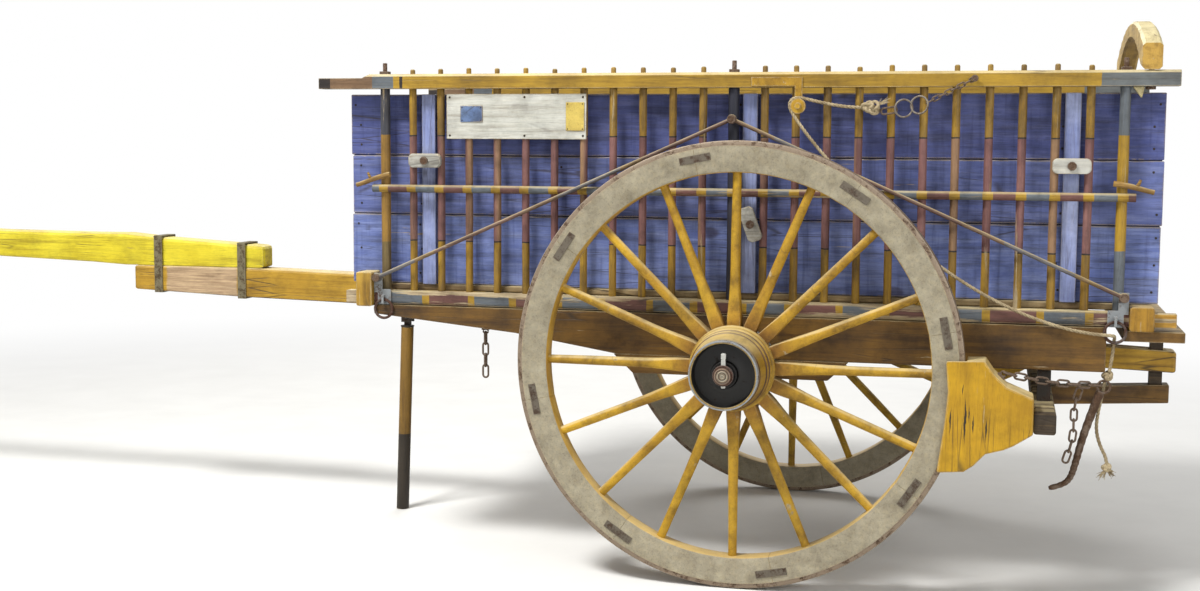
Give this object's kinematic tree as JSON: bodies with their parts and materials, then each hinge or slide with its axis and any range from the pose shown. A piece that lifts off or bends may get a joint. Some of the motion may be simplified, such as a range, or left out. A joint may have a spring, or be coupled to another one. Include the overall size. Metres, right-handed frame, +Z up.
{
  "type": "ox cart",
  "caption": "Two-wheeled ox cart with a central pole, spoked iron-tyred wheels, slatted board sides, a rear arch, wooden brake shoes and a folding prop leg.",
  "frame": {"origin": "on the ground, on the centreline, at the middle of the cart's whole length", "axes": "+X along the pole towards its tip, +Y to the cart's left, +Z up"},
  "size_m": [5.715, 2.042, 1.92],
  "materials": {
    "mustard_paint": "worn mustard-yellow paint on timber",
    "bright_paint": "bright yellow paint on hewn timber",
    "ochre_paint": "cracked yellow paint on timber",
    "cream_paint": "faded cream paint on timber",
    "blue_paint": "faded periwinkle-blue paint on planks",
    "stake_paint": "yellow, dusty red and grey-blue bands on stakes",
    "rail_paint": "grey-blue, yellow and dusty red bands",
    "white_paint": "chalky off-white paint",
    "felloe_wood": "weathered grey-beige timber",
    "bare_wood": "bare weathered timber",
    "dark_wood": "dark stained timber",
    "rusty_iron": "rusted forged iron",
    "dark_iron": "dark greasy forged iron",
    "grey_iron": "grey-painted forged iron",
    "rope_fibre": "worn hemp rope"
  },
  "bodies": {
    "bed": {"arch_bolts": "rusty_iron", "arch_teeth": "cream_paint", "axle": "dark_iron", "axle_blocks": "dark_wood", "axle_pins": "grey_iron", "battens": "blue_paint", "brake_arm": "dark_wood", "brake_beam": "dark_wood", "brake_block_left": "ochre_paint", "brake_block_right": "ochre_paint", "brake_hangers": "dark_iron", "brake_hook": "rusty_iron", "chains": "rusty_iron", "crossbeam_front": "ochre_paint", "crossbeam_rear": "ochre_paint", "end_nuts": "rusty_iron", "end_stakes": "stake_paint", "floor_boards": "bare_wood", "floor_joists": "bare_wood", "hook_pegs": "bare_wood", "mid_rails": "rail_paint", "pole_bands": "rusty_iron", "pole_extension": "bright_paint", "pole_main": "mustard_paint", "prop_bracket": "dark_iron", "pulley": "ochre_paint", "rear_arch": "cream_paint", "rear_sleeper": "dark_wood", "rope_knots": "rope_fibre", "rope_line": "rope_fibre", "rope_tail": "rope_fibre", "shoe_rings": "grey_iron", "side_beams": "dark_wood", "side_boards_left": "blue_paint", "side_boards_right": "blue_paint", "sign_board": "white_paint", "sill_shoes": "grey_iron", "sills": "rail_paint", "stakes_left": "stake_paint", "stakes_right": "stake_paint", "stay_bolts": "ochre_paint", "stay_rods": "rail_paint", "tail_post": "dark_wood", "toggle_bolts": "rusty_iron", "toggles": "white_paint", "top_rails": "mustard_paint"},
    "wheel_left": {"wheel_felloes_left": "felloe_wood", "wheel_hub_and_spokes_left": "mustard_paint", "wheel_irons_left": "dark_iron", "wheel_tyre_left": "rusty_iron"},
    "wheel_right": {"wheel_felloes_right": "felloe_wood", "wheel_hub_and_spokes_right": "mustard_paint", "wheel_irons_right": "dark_iron", "wheel_tyre_right": "rusty_iron"},
    "prop": {"prop_eye": "dark_iron", "prop_leg": "dark_wood"}
  },
  "joints": [
    {"name": "wheel_left_spin", "type": "hinge", "parent": "bed", "child": "wheel_left", "pos_m": [-1.3925, 0.77, 0.75], "axis": [0, 1, 0], "continuous": true},
    {"name": "wheel_right_spin", "type": "hinge", "parent": "bed", "child": "wheel_right", "pos_m": [-1.3925, -0.77, 0.75], "axis": [0, 1, 0], "continuous": true},
    {"name": "prop_swing", "type": "hinge", "parent": "bed", "child": "prop", "pos_m": [0.0675, 0, 0.786], "axis": [0, 1, 0], "range_deg": [0, 78]}
  ]
}
